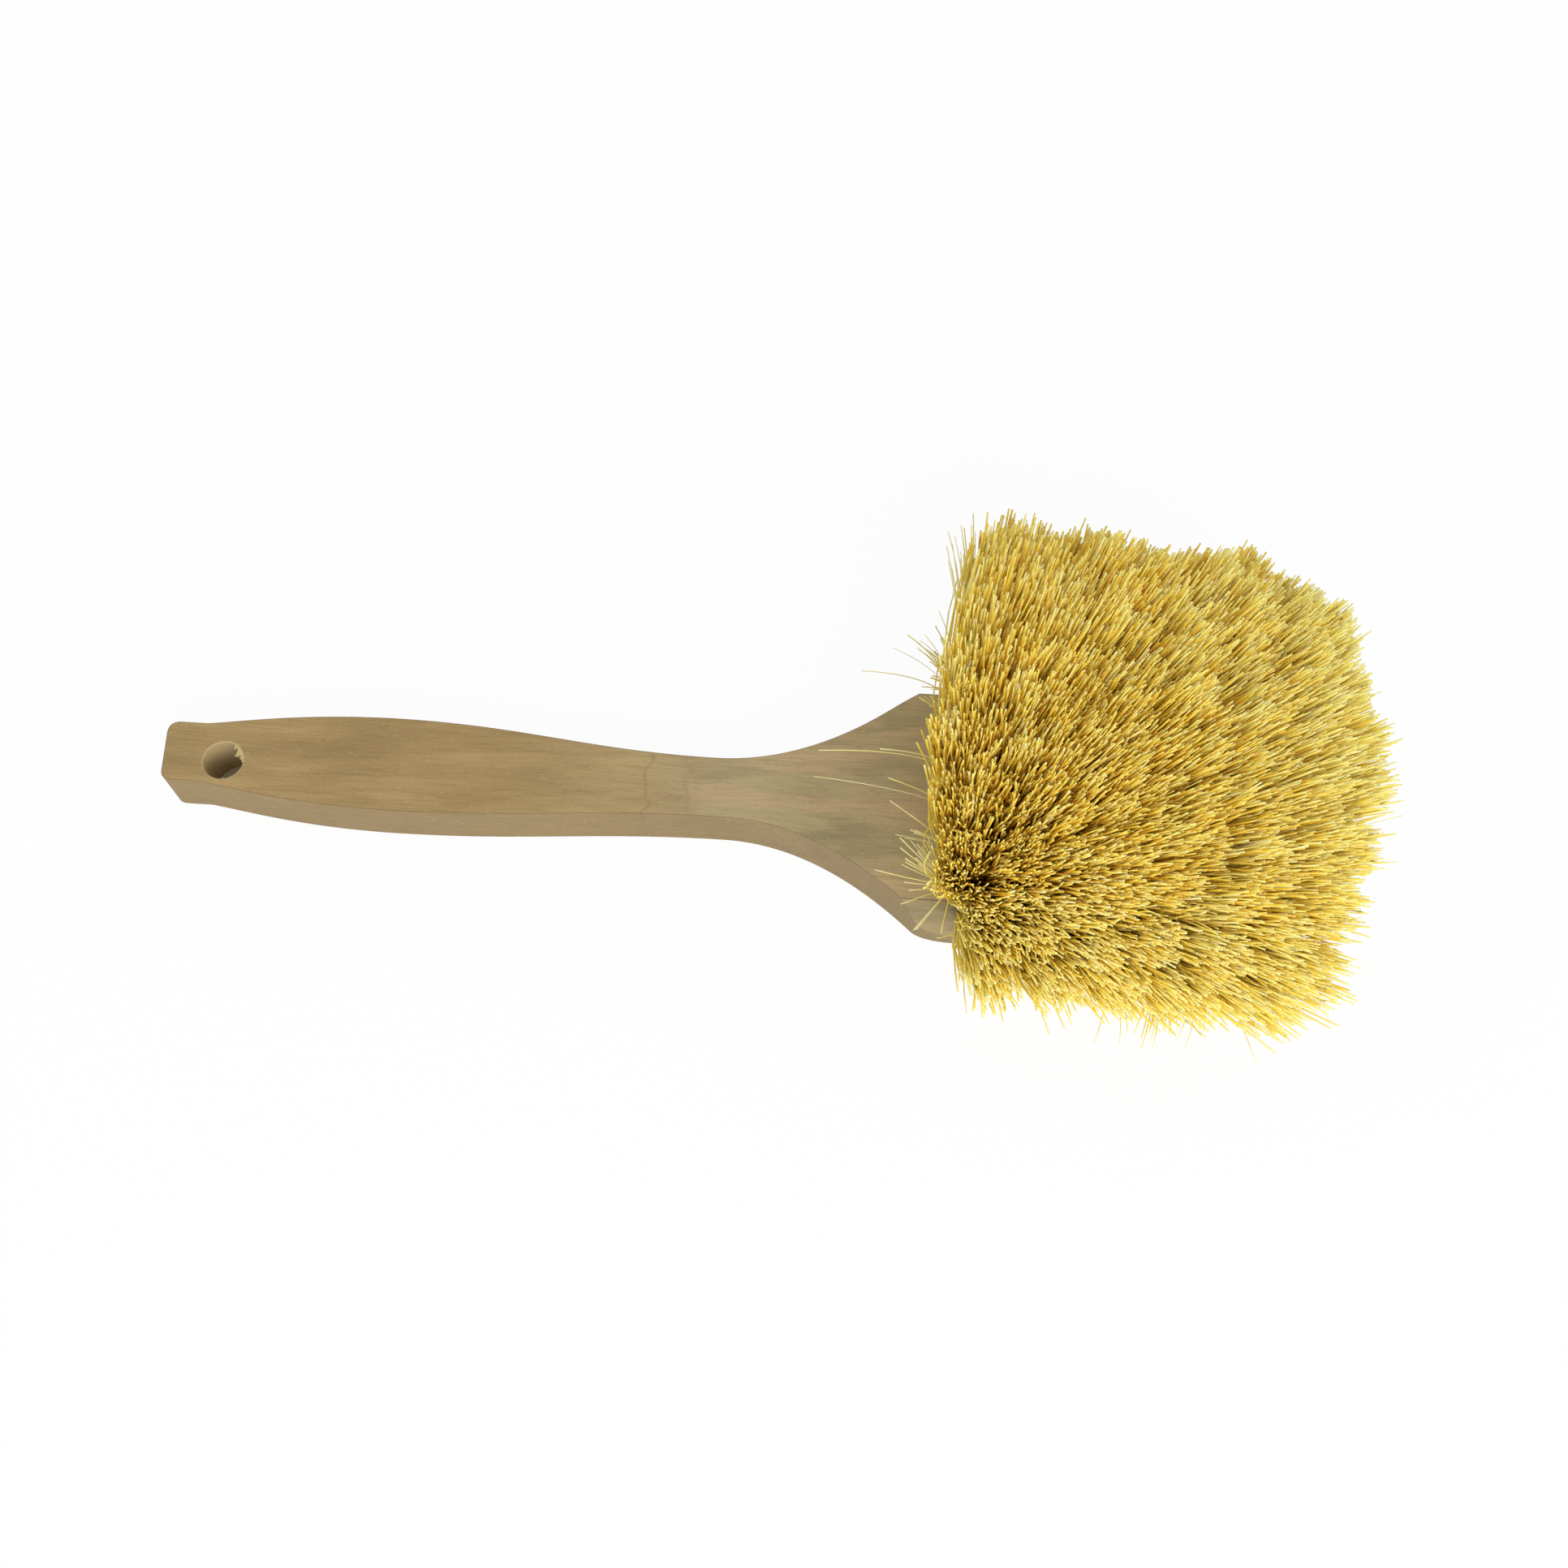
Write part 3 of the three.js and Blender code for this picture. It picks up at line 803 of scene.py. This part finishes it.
# A thin darker brown line is painted along the eased edges.
eased = wood.between(upwards, 0.48, 0.56) * (1 - wood.between(upwards, 0.93, 0.99))
glazes = [
    (into_neck, neck),
    (rings, umber),
    (0.5 * painted_light_near_head, head_painted_light),
    (0.7 * side_wall, wood.mix(streaks, wall_dark, wall_light)),
    (0.25 * side_wall * into_neck, umber),
    (0.15 * slim * level_face, waist_pale),
    (0.85 * eased, edge_brown),
    (0.35 * wood.between(hairs, 0.42, 0.75), hair_brown),
    (0.3 * wood.between(flecks, 0.62, 0.72), fleck_cream),
    (0.5 * pores, pore_brown),
]
wood_colour = handle
for mask, glaze in glazes:
    wood_colour = wood.mix(mask, wood_colour, glaze)
print(len(glazes), "glazes over the handle's colour")

# %% [markdown]
# ## The hang hole's colours and the wood's relief
# Inside the hole the wood is painted pale, as painted light that lifts the deep shade in the
# hole, and the torn wood at its rim is yellower. A point is inside when it lies nearer to the
# drill's axis than the hole's radius, at any depth, so the height is left out of the distance.
# The relief comes from the same noises as the colours, so that dark pores are also the hollows.

# %% Hang hole and relief
painted_light_in_hole = paint(198, 176, 132)
torn_yellow = paint(190, 168, 108)
rim = 0.15 * mm
flat = wood.node("ShaderNodeCombineXYZ", None, {"X": station, "Y": across})
from_axis = wood.distance(flat, (hang_hole_station, hang_hole_across, 0))
inside_hole = 1 - wood.between(from_axis, hang_hole_radius, hang_hole_radius + rim)
torn = inside_hole * wood.between(upwards, 0.5, 0.8)
# Painted light inside the hole lifts the shade there.
wood_colour = wood.mix(0.8 * inside_hole, wood_colour, painted_light_in_hole)
wood_colour = wood.mix(0.8 * torn, wood_colour, torn_yellow)

relief = 0.5 * hairs + 0.6 * streaks - 0.5 * pores
bump = {"Strength": 0.35, "Distance": 0.12 * mm, "Height": relief}
rough_skin = wood.node("ShaderNodeBump", None, bump)
wood_shader = wood.node(
    "ShaderNodeBsdfPrincipled",
    None,
    {"Base Color": wood_colour, "Roughness": 0.58 + 0.2 * hairs, "Normal": rough_skin},
)
wood.node("ShaderNodeOutputMaterial", None, {"Surface": wood_shader})
wood_block.data.materials.append(wood.owner)
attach(wood_block, "root")
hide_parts("brush_block")
print("wood finish has", len(wood.tree.nodes), "nodes")

# %% [markdown]
# ## Wires from curves
# Staples and fibres are both long, thin and round. A curve with a bevel makes such things with
# the least work, from a row of points and a radius at each. Turned into a mesh, it becomes a
# piece like any other.

# %% Wires from curves
def wires_to_mesh(curve, name):
    """Turns a curve into a mesh piece that lies where the curve lay."""
    holder = bpy.data.objects.new(name + "_curve", curve)
    bpy.context.scene.collection.objects.link(holder)
    graph = bpy.context.evaluated_depsgraph_get()
    mesh = bpy.data.meshes.new_from_object(holder.evaluated_get(graph), depsgraph=graph)
    bpy.data.objects.remove(holder)
    mesh.name = name
    piece = bpy.data.objects.new(name, mesh)
    bpy.context.scene.collection.objects.link(piece)
    return piece


def add_course(curve, points, thickness):
    """One spline through the points, each with its share of the curve's bevel radius."""
    spline = curve.splines.new("POLY")
    spline.points.add(len(points) - 1)
    spline.points.foreach_set("co", np.insert(points, 3, 1, axis=1).ravel())
    spline.points.foreach_set("radius", thickness)


def round_curve(name, radius, resolution):
    curve = bpy.data.curves.new(name, "CURVE")
    curve.dimensions = "3D"
    curve.bevel_depth = radius
    curve.bevel_resolution = resolution
    curve.use_fill_caps = True
    return curve


# %% [markdown]
# ## The staples
# A staple is a U of drawn wire. Its bridge pins the fold of the tuft to the floor of the hole,
# and its legs go on into solid wood. One piece holds all the staples, because nothing tells
# them apart.

# %% Staples
wire = 1 * mm
leg_reach = 2.2 * mm
leg_depth = 2.1 * mm
bridge_rise = 0.8 * mm
corner = 0.35 * wire

staple_curve = round_curve("staples", wire / 2, 2)
for tuft in tufts:
    turned = tuft.lean.to_track_quat("Z", "X").to_matrix()
    shape = [
        (-leg_reach, -leg_depth),
        (-leg_reach, bridge_rise - corner),
        (-leg_reach + corner, bridge_rise),
        (leg_reach - corner, bridge_rise),
        (leg_reach, bridge_rise - corner),
        (leg_reach, -leg_depth),
    ]
    floor_of_hole = tuft.root - tuft.lean * tuft_hole_depth
    points = np.array([floor_of_hole + turned @ Vector((x, 0, z)) for x, z in shape])
    add_course(staple_curve, points, np.ones(len(points)))
staples = wires_to_mesh(staple_curve, "staples")
print(len(tufts), "staples,", len(staples.data.polygons), "faces")

# %% [markdown]
# ## The steel's finish
# Drawn wire is bright, with fine scratches that make it a little rougher here and there. It
# hardly shows in the holes, but it belongs to the brush as much as the fibres do.

# %% Steel finish
steel = new_finish("drawn steel wire")
on_wire = steel.node("ShaderNodeTexCoord", None, None, "Object")
scratches = steel.noise(on_wire, (0.2 * mm, 0.2 * mm, 1.5 * mm), 3)
shade = steel.mix(scratches, paint(140, 140, 136), paint(186, 186, 182))
steel_shader = steel.node(
    "ShaderNodeBsdfPrincipled",
    None,
    {"Base Color": shade, "Metallic": 1, "Roughness": 0.25 + 0.3 * scratches},
)
steel.node("ShaderNodeOutputMaterial", None, {"Surface": steel_shader})
staples.data.materials.append(steel.owner)
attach(staples, "root")
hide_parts(*[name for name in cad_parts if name.startswith("staple_")])
print("steel finish has", len(steel.tree.nodes), "nodes")

# %% [markdown]
# ## Where the tips stand
# A brush is trimmed after it is filled, so its tips make one even surface with no gaps between
# the tufts. The tips are spread over that surface at random, and each belongs to the sheaf whose
# middle is nearest. Guard points outside the fan stop the outer tufts from reaching too far.

# %% Tips
random = np.random.default_rng(5)
tries = {"crown": 2850, "near_side": 2400, "far_side": 2400, "nose": 2650}
reach = 23 * mm
side_margin = {"near_side": 5 * mm, "far_side": 4 * mm, "nose": 4 * mm}
back_margin = {"crown": 6 * mm, "near_side": 7 * mm, "far_side": 0.5 * mm}
edge_softness = 2 * mm

sheaves = [(tuft, comb) for tuft in tufts for comb in tuft.combs]
comb_turns = np.array([comb.to_track_quat("Z", "X").to_matrix() for _, comb in sheaves])
roots = np.array([tuft.root for tuft, _ in sheaves])
leans = np.array([tuft.lean for tuft, _ in sheaves])
tip_middles = roots + np.array([comb for _, comb in sheaves])


def in_disc(count):
    """Places spread evenly over a disc of radius 1."""
    distance = np.sqrt(random.random(count))
    angle = 2 * np.pi * random.random(count)
    return np.stack([distance * np.cos(angle), distance * np.sin(angle)], axis=1)


def nearest(spots, middles):
    return np.argmin(((spots[:, None] - middles[None]) ** 2).sum(axis=2), axis=1)


def guard_points():
    guards = []
    for (tuft, comb), tip in zip(sheaves, tip_middles):
        if tuft.row != "crown" and comb == tuft.combs[-1]:
            sideways = Vector((comb.x, comb.y, 0)).normalized()
            down = (sideways - sideways.project(comb)).normalized()
            guards.append(tip + 2 * side_margin[tuft.row] * np.array(down))
        if tuft.share == 0 and tuft.row != "nose":
            guards.append(tip - np.array([2 * back_margin[tuft.row], 0, 0]))
    return np.array(guards)


def spread_tips():
    """A tip for every fibre, and the number of the sheaf that it belongs to."""
    centres = np.concatenate([tip_middles, guard_points()])
    spots = []
    owners = []
    for number, turn in enumerate(comb_turns):
        count = tries[sheaves[number][0].row]
        tried = tip_middles[number] + reach * in_disc(count) @ turn[:, :2].T
        judged = tried + random.normal(0, edge_softness, tried.shape)
        kept = tried[nearest(judged, centres) == number]
        spots.append(kept)
        owners.append(np.full(len(kept), number))
    return np.concatenate(spots), np.concatenate(owners)


tips, owners = spread_tips()
print(len(tips), "tips over", len(sheaves), "sheaves")

# %% [markdown]
# ## Grooves and bundles
# A used brush doesn't stay even. Shallow grooves open between the rows at the back of the head
# and close towards the nose, so the tips are moved a little away from them. Then the tips are
# sorted into bundles as wide as a finger, which later draw together. The middles of the bundles
# are found by starting anywhere and moving each to the middle of the tips nearest to it, a few
# times over.

# %% Grooves and bundles
bundle_count = 130
sorting_rounds = 6
groove_reach = 5 * mm


@dataclass
class Groove:
    foot: float  # how far its foot lies to the far side of the middle line
    lean: float  # to the far side, in degrees
    half_width: float  # at the back of the head
    length: float  # to where it has closed


grooves = [
    Groove(-26 * mm, -22, 2.2 * mm, 48 * mm),
    Groove(-22 * mm, -9.6, 1.3 * mm, 110 * mm),
    Groove(-12.7 * mm, -3, 1.1 * mm, 110 * mm),
    Groove(-1.8 * mm, 3.9, 1.4 * mm, 120 * mm),
    Groove(13 * mm, 13, 1.5 * mm, 130 * mm),
]


def parted(spots):
    """The spots, moved away from the grooves. The push fades with the distance from a groove."""
    shift = np.zeros(spots.shape)
    for groove in grooves:
        foot = np.array([0, middle_line + groove.foot, board_thickness])
        lean = math.radians(groove.lean)
        across_groove = np.array([0, math.cos(lean), -math.sin(lean)])
        beside = (spots - foot) @ across_groove
        run = spots[:, 0] - board_start - first_station
        width = groove.half_width * np.clip(1 - run / groove.length, 0, 1)
        push = np.sign(beside) * width * np.exp(-np.abs(beside) / groove_reach)
        shift += push[:, None] * across_groove
    return spots + shift


def gathered(spots, count, rounds):
    """The middles of even groups, and the number of the group that each spot is in."""
    middles = spots[random.choice(len(spots), count, replace=False)]
    for _ in range(rounds):
        group = nearest(spots, middles)
        middles = np.array([spots[group == g].mean(axis=0) for g in range(count)])
    return middles, nearest(spots, middles)


tips = parted(tips)
bundle_middles, bundle = gathered(tips, bundle_count, sorting_rounds)
print(len(tips), "fibres in", len(bundle_middles), "bundles")

# %% [markdown]
# ## The fibres
# Natural fibre never lies quite straight. It leaves the hole in a tight knot, opens out and bows
# a little. Its tip draws towards its bundle and towards a small lock of neighbours, some of it
# is cut short, and a few wild fibres go their own way. All the fibres of a sheaf are worked out
# at once as arrays: a row of points for each, from inside the hole to the tip.

# %% Fibre courses
fibre_radius = 0.28 * mm
knot_radius = 2.7 * mm
sheaf_radius = 11 * mm
fibres_per_lock = 9
own_pull = 0.6
lock_pull = 0.14
bundle_pull = 0.26
tip_scatter = 1.8 * mm
wild_reach = 6 * mm
lock_bow = 0.4 * mm
fibre_bow = 1.2 * mm
parting = {"crown": 0.08, "near_side": 0.06, "far_side": 0.1, "nose": 0.08}
wild_share = {"crown": 0.08, "near_side": 0.14, "far_side": 0.03, "nose": 0.03}
short_share = 0.1
more_short_at_back = 0.25
short_lengths = (0.68, 0.97)
uneven_trim = 0.2
lock_length_spread = 0.012
bundle_length_spread = 0.028
mouth_scatter = 0.2
opening_powers = (0.6, 1)
point_shares = np.array([-0.11, 0.15, 0.45, 0.75, 1])  # along the fibre, from the mouth of its hole
along_lean = point_shares[None, :, None]
above_wood = np.clip(along_lean, 0, 1)
bundle_length = random.normal(0.99, bundle_length_spread, bundle_count)


def fibres_of(number):
    """The courses of the sheaf's fibres, and their tones from 0 for dark to 1 for pale."""
    tuft, comb = sheaves[number]
    mine = owners == number
    spot = tips[mine] + parting[tuft.row] * (tip_middles[number] - tips[mine])
    count = len(spot)
    locks = spot[random.choice(count, count // fibres_per_lock, replace=False)]
    lock = nearest(spot, locks)
    tip = own_pull * spot + lock_pull * locks[lock] + bundle_pull * bundle_middles[bundle[mine]]
    tip += random.normal(0, tip_scatter, (count, 3))
    wild = random.random(count) < wild_share[tuft.row]
    tip[wild] += random.uniform(-wild_reach, wild_reach, (wild.sum(), 3))
    lock_length = random.normal(1, lock_length_spread, len(locks))
    length = bundle_length[bundle[mine]] * lock_length[lock]
    length *= 1 - uneven_trim * random.random(count) ** 1.4
    at_back = max(0, 1 - 3 * tuft.share)
    short = wild | (random.random(count) < short_share + more_short_at_back * at_back)
    length[short] *= random.uniform(*short_lengths, short.sum())
    outwards = spot - tip_middles[number]
    outwards /= np.maximum(np.linalg.norm(outwards, axis=1, keepdims=True), sheaf_radius)
    scatter = random.normal(0, mouth_scatter, (count, 3))
    mouth = roots[number] + knot_radius * (outwards + scatter)
    tip = mouth + (tip - mouth) * length[:, None]
    straight_up = leans[number] * comb.length * length[:, None]
    spread = (tip - mouth - straight_up)[:, None]
    opening = above_wood ** random.uniform(*opening_powers, (count, 1, 1))
    bow = random.normal(0, lock_bow, (len(locks), 1, 3))[lock]
    bow = bow + random.normal(0, fibre_bow, (count, 1, 3))
    bow[wild] *= 2
    course = mouth[:, None] + straight_up[:, None] * along_lean + spread * opening
    tones = 0.5 * random.random(len(locks))[lock] + 0.5 * random.random(count)
    return course + bow * np.sin(np.pi * above_wood), tones


print(len(sheaves), "sheaves to work out")

# %% [markdown]
# ## From courses to pieces
# Each course becomes a spline of a bevelled curve, four-sided and thin, and the curve becomes a
# mesh. Its finish needs to know how pale each fibre is and how far along it a point lies, so
# both are kept as attributes. The crown is cut into six pieces, one for each column, so that no
# piece has too many triangles.

# %% Fibre pieces
fibre = new_finish("plant fibre")


def note_on_points(piece, name, on_caps, on_tubes):
    """Keeps a number for every point. A converted curve lists its caps first, last spline first."""
    layer = piece.data.attributes.new(name, "FLOAT", "POINT")
    values = np.concatenate([on_caps.ravel(), on_tubes.ravel()]).astype(np.float32)
    layer.data.foreach_set("value", values)


def fibre_piece(name, courses, tones, replaced, shares=point_shares, thickness=(0.7, 1.15)):
    """One piece of many fibres. The shares say how far along its fibre each point of it lies."""
    count = len(courses)
    curve = round_curve(name, fibre_radius, 0)
    for course in courses:
        add_course(curve, course, np.full(len(shares), random.uniform(*thickness)))
    piece = wires_to_mesh(curve, name)
    corners = len(piece.data.vertices) // (count * (len(shares) + 2))
    on_caps = np.repeat(tones[::-1], 2 * corners)
    note_on_points(piece, "tone", on_caps, np.repeat(tones, len(shares) * corners))
    ends = np.repeat([shares[-1], shares[0]], corners)
    along_tubes = np.tile(np.repeat(shares, corners), count)
    note_on_points(piece, "along", np.tile(ends, count), along_tubes)
    weld = piece.modifiers.new("join caps", "WELD")
    weld.merge_threshold = seam_gap
    settle(piece)
    piece.data.materials.append(fibre.owner)
    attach(piece, "root")
    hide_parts(replaced)
    piece.data.calc_loop_triangles()
    print(name, count, "fibres,", corners, "corners,", len(piece.data.loop_triangles), "triangles")


def grown(row, share=None):
    """Courses and tones of all the fibres of a row, or of one column of it."""
    chosen = [n for n, (t, _) in enumerate(sheaves) if t.row == row and share in (None, t.share)]
    courses, tones = zip(*[fibres_of(number) for number in chosen])
    return np.concatenate(courses), np.concatenate(tones)


# The fibres' tones carry painted light and shade: the crown's columns get paler towards the nose,
# the near side and the nose are paler and the far side darker, as the light falls mostly from the
# near side.
for column in range(crown_columns):
    back_to_front = column / (crown_columns - 1)
    courses, tones = grown("crown", back_to_front)
    darkest = 0.42 * back_to_front**1.5
    fibre_piece(f"crown_fibre_{column + 1}", courses, lerp(darkest, 1, tones), "crown_tufts")
row_tones_painted_light = {"near_side": (0.6, 1), "far_side": (0, 0.65), "nose": (0.52, 1)}
for row, (darkest, lightest) in row_tones_painted_light.items():
    courses, tones = grown(row)
    fibre_piece(row + "_fibre", courses, lerp(darkest, lightest, tones), row + "_tufts")

# %% [markdown]
# ## Stray fibres
# A few long fibres stand clear of the fan, and they catch the eye because nothing is behind
# them. Each is noted by where its tip ends, in millimetres: how far along the board, how far to
# the far side and how high. Others stand in clumps, with a middle, a spread and a count. A fibre
# bends over to reach its place from the nearest tuft.

# %% Strays
stray_tips = [
    (225, 38, 45),
    (216, 32, 40),
    (238, 46, 55),
    (229, 40, 50),
    (241, 57, 62),
    (243, 61, 66),
    (203, -2, 34),
    (204, 4, 40),
    (222, 1, 50),
    (226, -12, 42),
    (231, -22, 38),
    (231, -40, 30),
    (233, -37, 34),
    (236, -47, 28),
    (242, -50, 30),
    (285, -83, 45),
    (298, -84, 45),
    (330, -86, 45),
    (352, -73, 45),
    (376, -10, 50),
    (231, -42, 36),
    (235, -48, 30),
    (243, -49, 32),
    (225, -6, 45),
]
clumps = [
    ((234.5, -25, 43), (3.5, 5, 3), 30),
    ((237, 30, 48), (2.5, 7, 5), 40),
    ((307, -79, 45), (6, 2, 3), 25),
    ((243, 66, 62), (3, 6, 4), 16),
]
for middle, spread, count in clumps:
    stray_tips += [tuple(tip) for tip in middle + random.normal(0, spread, (count, 3))]

points_per_stray = 12
stray_shares = np.linspace(0, 1, points_per_stray)


def stray_course(station, across, height):
    """A fibre from the nearest tuft that bends over more and more towards its tip."""
    tip = np.array([board_start + station * mm, middle_line + across * mm, height * mm])
    number = np.argmin(np.linalg.norm(roots - tip, axis=1))
    root = roots[number] - 4 * mm * leans[number]
    rise = 0.5 * np.linalg.norm(tip - root) * leans[number]
    share = stray_shares[:, None]
    return root + 2 * share * (1 - share) * rise + share**2 * (tip - root)


stray_courses = np.array([stray_course(*tip) for tip in stray_tips])
# The strays get the palest tones, as painted light that keeps them from looking dark against the
# white.
fibre_piece(
    "stray_fibres",
    stray_courses,
    random.uniform(0.9, 1, len(stray_courses)),
    "crown_tufts",
    shares=0.5 + stray_shares / 2,
    thickness=(0.4, 0.8),
)

# %% [markdown]
# ## The fibre's finish
# The tone attribute picks a fibre's colour from a ramp that runs from ochre through straw yellow
# to cream, with most of the fibres near its middle. Deep in the brush the fibres shade each
# other, so there a paler straw is mixed in as painted light against that shade. The cut ends are
# paler again, the more so the paler the fibre, partly their own colour and partly a painted
# highlight where the tips stand out in the light. A little subsurface light makes the fibres
# look soft, not like wire.

# %% Fibre finish
tone = fibre.node("ShaderNodeAttribute", {"attribute_name": "tone"}, None, "Fac")
along = fibre.node("ShaderNodeAttribute", {"attribute_name": "along"}, None, "Fac")
stops = [
    (0, paint(150, 112, 46)),
    (0.06, paint(208, 163, 54)),
    (0.2, paint(228, 183, 58)),
    (0.5, paint(242, 199, 64)),
    (0.8, paint(252, 222, 104)),
    (0.93, paint(254, 233, 140)),
    (1, paint(255, 240, 180)),
]
length_tone = fibre.node("ShaderNodeValToRGB", {"stops": stops}, {"Fac": tone}, "Color")
painted_light_deep = paint(244, 219, 102)
yellow_end = paint(248, 214, 90)
cream_end = paint(254, 235, 152)
# The cut ends are paler: partly their own colour, partly a painted highlight on tips in the light.
cut_end_and_highlight = fibre.mix(fibre.between(tone, 0.2, 1), yellow_end, cream_end)
# Painted light: a paler straw deep in the brush, where the fibres shade each other.
fibre_colour = fibre.mix(0.75 * fibre.between(along, 0.8, 0.35), length_tone, painted_light_deep)
fibre_colour = fibre.mix(0.8 * fibre.between(along, 0.96, 0.985), fibre_colour, cut_end_and_highlight)
fibre_shader = fibre.node(
    "ShaderNodeBsdfPrincipled",
    None,
    {
        "Base Color": fibre_colour,
        "Roughness": 0.5 + 0.15 * tone,
        "Specular IOR Level": 0.15,
        "Subsurface Weight": 0.8,
        "Subsurface Radius": (1, 0.9, 0.7),
        "Subsurface Scale": 0.8 * mm,
    },
)
fibre.node("ShaderNodeOutputMaterial", None, {"Surface": fibre_shader})
print("fibre finish has", len(fibre.tree.nodes), "nodes")
